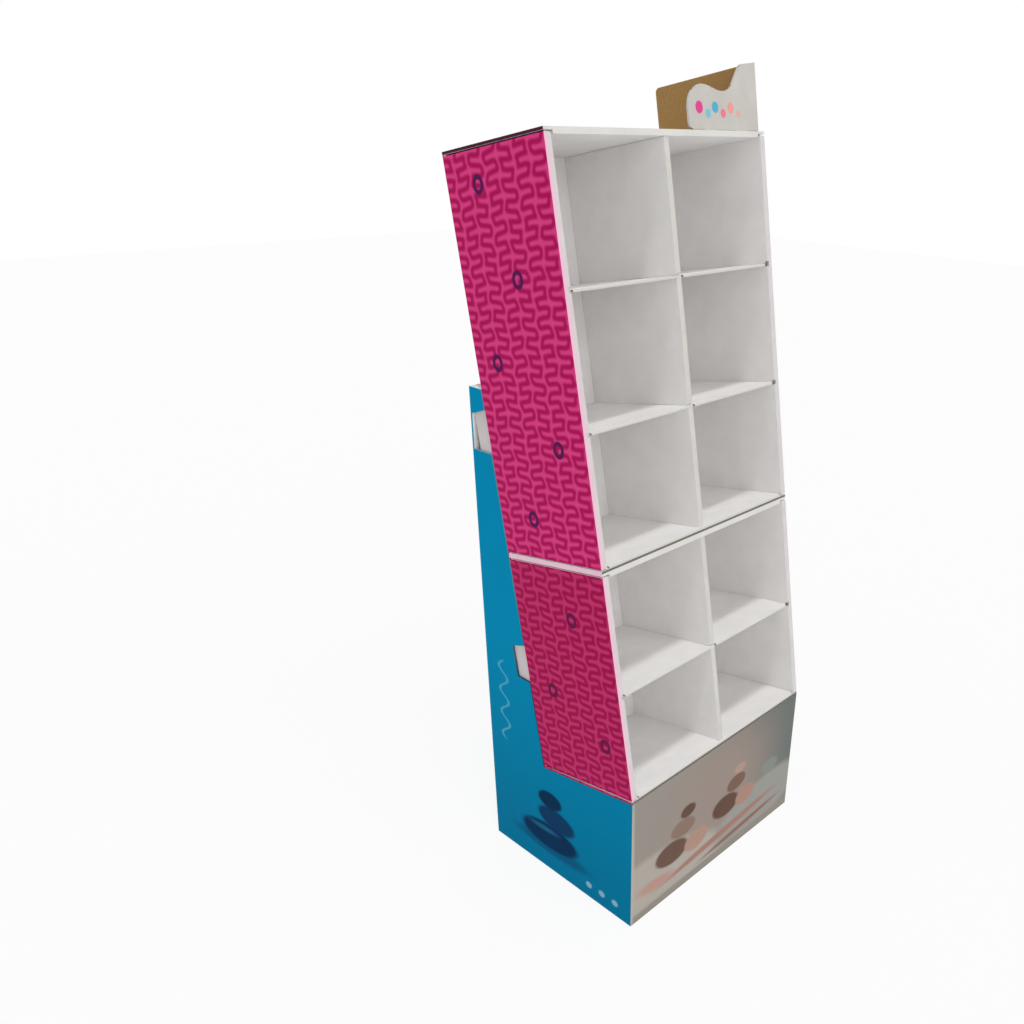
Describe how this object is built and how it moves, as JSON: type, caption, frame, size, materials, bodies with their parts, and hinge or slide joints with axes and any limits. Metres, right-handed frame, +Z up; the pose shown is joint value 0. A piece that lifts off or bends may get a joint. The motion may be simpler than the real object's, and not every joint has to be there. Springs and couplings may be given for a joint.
{
  "type": "cardboard display stand",
  "caption": "Folded cardboard floor stand: a printed base box carries stacked, leaning, open-fronted shelf trays with a divider, and a wavy corner sign stands on top.",
  "frame": {"origin": "centre of the base's footprint, on the floor", "axes": "+Z up, -Y out of the open front, +X to the right of someone facing the front"},
  "size_m": [0.6, 0.5103, 1.7296],
  "materials": {
    "printed_blue_card": "matte printed blue outside, white inside",
    "printed_magenta_card": "matte printed magenta outside, white inside",
    "white_card": "matte white liner"
  },
  "bodies": {
    "root": {"base_sleeve": "printed_blue_card", "base_cradle": "white_card", "base_rib_left": "white_card", "base_rib_right": "white_card", "base_cross_wall": "white_card", "lower_tray": "printed_magenta_card", "lower_floor_pad": "white_card", "lower_divider": "white_card", "lower_shelf": "white_card", "upper_tray": "printed_magenta_card", "upper_floor_pad": "white_card", "upper_divider": "white_card", "upper_shelf_low": "white_card", "upper_shelf_high": "white_card", "corner_sign": "white_card"}
  },
  "joints": []
}
